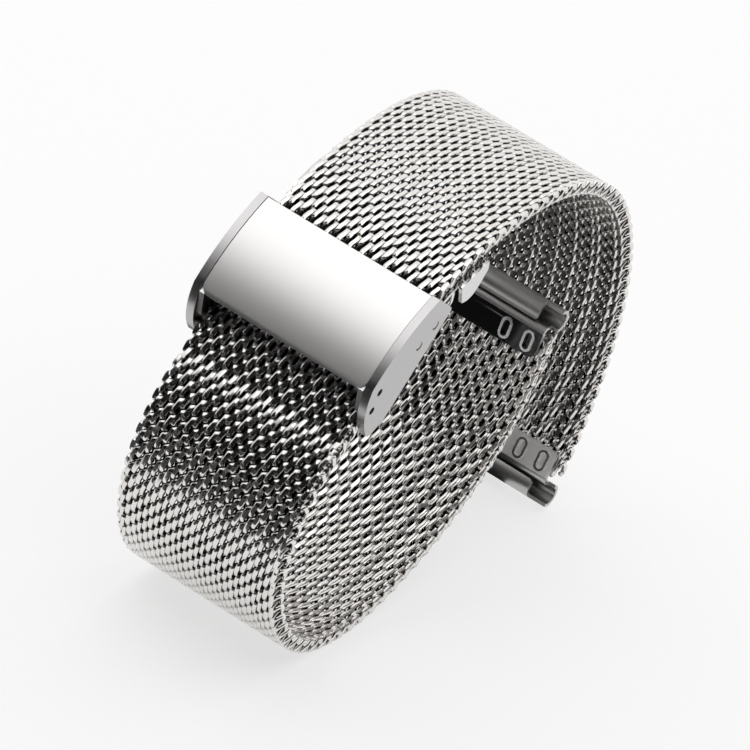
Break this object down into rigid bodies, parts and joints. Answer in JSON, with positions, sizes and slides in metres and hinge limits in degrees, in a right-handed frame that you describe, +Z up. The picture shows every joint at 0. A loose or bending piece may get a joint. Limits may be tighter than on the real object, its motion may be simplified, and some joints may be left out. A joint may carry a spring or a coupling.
{
  "type": "metal watch bracelet",
  "caption": "Milanese mesh watch bracelet closed by a sliding clasp with a curved lid, a locking flap and a hook plate, with stamped lug ends for spring bars.",
  "frame": {"origin": "on the floor below the middle of the closed bracelet, which stands on the lowest row of its mesh", "axes": "+Y across the strap towards its far edge, +Z up, +X from the clasp's side to the side of the upper strap's lug end"},
  "size_m": [0.062, 0.022, 0.0489],
  "materials": {
    "mesh": "bright drawn wire, rolled flat, with dark hollows",
    "frame": "satin faces with a polished upper edge",
    "lid": "fine satin",
    "bars": "plain turned pin",
    "flap": "satin",
    "hook": "polished",
    "lug_ends": "polished with fine scratches"
  },
  "bodies": {
    "clasp": {"clasp_frame": "frame", "catch_bar": "bars", "guide_bar": "bars", "lid_pins": "bars", "flap_pin": "bars"},
    "lid": {"lid": "lid"},
    "flap": {"lock_flap": "flap"},
    "hook": {"hook_plate": "hook", "upper_mesh_root": "mesh"},
    "tail": {"lower_mesh_tail": "mesh"},
    "upper_1": {"upper_mesh_1": "mesh"},
    "upper_2": {"upper_mesh_2": "mesh"},
    "upper_3": {"upper_mesh_3": "mesh"},
    "upper_4": {"upper_mesh_4": "mesh"},
    "upper_5": {"upper_mesh_5": "mesh"},
    "upper_6": {"upper_mesh_6": "mesh"},
    "upper_7": {"upper_mesh_7": "mesh"},
    "upper_end": {"upper_mesh_end": "mesh", "upper_lug_end": "lug_ends"},
    "lower_1": {"lower_mesh_1": "mesh"},
    "lower_2": {"lower_mesh_2": "mesh"},
    "lower_3": {"lower_mesh_3": "mesh"},
    "lower_4": {"lower_mesh_4": "mesh"},
    "lower_5": {"lower_mesh_5": "mesh"},
    "lower_6": {"lower_mesh_6": "mesh"},
    "lower_7": {"lower_mesh_7": "mesh"},
    "lower_8": {"lower_mesh_8": "mesh"},
    "lower_end": {"lower_mesh_end": "mesh", "lower_lug_end": "lug_ends"}
  },
  "joints": [
    {"name": "lid_open", "type": "hinge", "parent": "clasp", "child": "lid", "pos_m": [-0.02487, 0, 0.03427], "axis": [0, -1, 0], "range_deg": [0, 100]},
    {"name": "flap_lift", "type": "hinge", "parent": "clasp", "child": "flap", "pos_m": [-0.02445, 0, 0.0363], "axis": [0, -1, 0], "range_deg": [0, 20]},
    {"name": "hook_pivot", "type": "hinge", "parent": "clasp", "child": "hook", "pos_m": [-0.01689, 0, 0.0414], "axis": [0, -1, 0], "range_deg": [0, 15]},
    {"name": "size_slide", "type": "hinge", "parent": "clasp", "child": "tail", "pos_m": [0.00096, 0, 0.01563], "axis": [0, -1, 0], "range_deg": [-1.5, 7]},
    {"name": "upper_flex_1", "type": "hinge", "parent": "hook", "child": "upper_1", "pos_m": [-0.00806, 0, 0.04651], "axis": [0, -1, 0], "range_deg": [-4, 18]},
    {"name": "upper_flex_2", "type": "hinge", "parent": "upper_1", "child": "upper_2", "pos_m": [0.00109, 0, 0.04808], "axis": [0, -1, 0], "range_deg": [-4, 18]},
    {"name": "upper_flex_3", "type": "hinge", "parent": "upper_2", "child": "upper_3", "pos_m": [0.01027, 0, 0.047], "axis": [0, -1, 0], "range_deg": [-4, 18]},
    {"name": "upper_flex_4", "type": "hinge", "parent": "upper_3", "child": "upper_4", "pos_m": [0.01846, 0, 0.0427], "axis": [0, -1, 0], "range_deg": [-4, 18]},
    {"name": "upper_flex_5", "type": "hinge", "parent": "upper_4", "child": "upper_5", "pos_m": [0.02463, 0, 0.0358], "axis": [0, -1, 0], "range_deg": [-4, 18]},
    {"name": "upper_flex_6", "type": "hinge", "parent": "upper_5", "child": "upper_6", "pos_m": [0.02851, 0, 0.02738], "axis": [0, -1, 0], "range_deg": [-4, 18]},
    {"name": "upper_flex_7", "type": "hinge", "parent": "upper_6", "child": "upper_7", "pos_m": [0.03017, 0, 0.01825], "axis": [0, -1, 0], "range_deg": [-4, 18]},
    {"name": "upper_flex_8", "type": "hinge", "parent": "upper_7", "child": "upper_end", "pos_m": [0.02964, 0, 0.00898], "axis": [0, -1, 0], "range_deg": [-4, 18]},
    {"name": "lower_flex_1", "type": "hinge", "parent": "tail", "child": "lower_1", "pos_m": [-0.02565, 0, 0.0295], "axis": [0, 1, 0], "range_deg": [-4, 24]},
    {"name": "lower_flex_2", "type": "hinge", "parent": "lower_1", "child": "lower_2", "pos_m": [-0.03001, 0, 0.02148], "axis": [0, 1, 0], "range_deg": [-4, 24]},
    {"name": "lower_flex_3", "type": "hinge", "parent": "lower_2", "child": "lower_3", "pos_m": [-0.0289, 0, 0.01237], "axis": [0, 1, 0], "range_deg": [-4, 24]},
    {"name": "lower_flex_4", "type": "hinge", "parent": "lower_3", "child": "lower_4", "pos_m": [-0.02341, 0, 0.00496], "axis": [0, 1, 0], "range_deg": [-4, 24]},
    {"name": "lower_flex_5", "type": "hinge", "parent": "lower_4", "child": "lower_5", "pos_m": [-0.01509, 0, 0.00107], "axis": [0, 1, 0], "range_deg": [-4, 24]},
    {"name": "lower_flex_6", "type": "hinge", "parent": "lower_5", "child": "lower_6", "pos_m": [-0.0059, 0, 0.0017], "axis": [0, 1, 0], "range_deg": [-4, 24]},
    {"name": "lower_flex_7", "type": "hinge", "parent": "lower_6", "child": "lower_7", "pos_m": [0.00247, 0, 0.00569], "axis": [0, 1, 0], "range_deg": [-4, 24]},
    {"name": "lower_flex_8", "type": "hinge", "parent": "lower_7", "child": "lower_8", "pos_m": [0.00947, 0, 0.01177], "axis": [0, 1, 0], "range_deg": [-4, 24]},
    {"name": "lower_flex_9", "type": "hinge", "parent": "lower_8", "child": "lower_end", "pos_m": [0.01373, 0, 0.01994], "axis": [0, 1, 0], "range_deg": [-4, 24]}
  ]
}
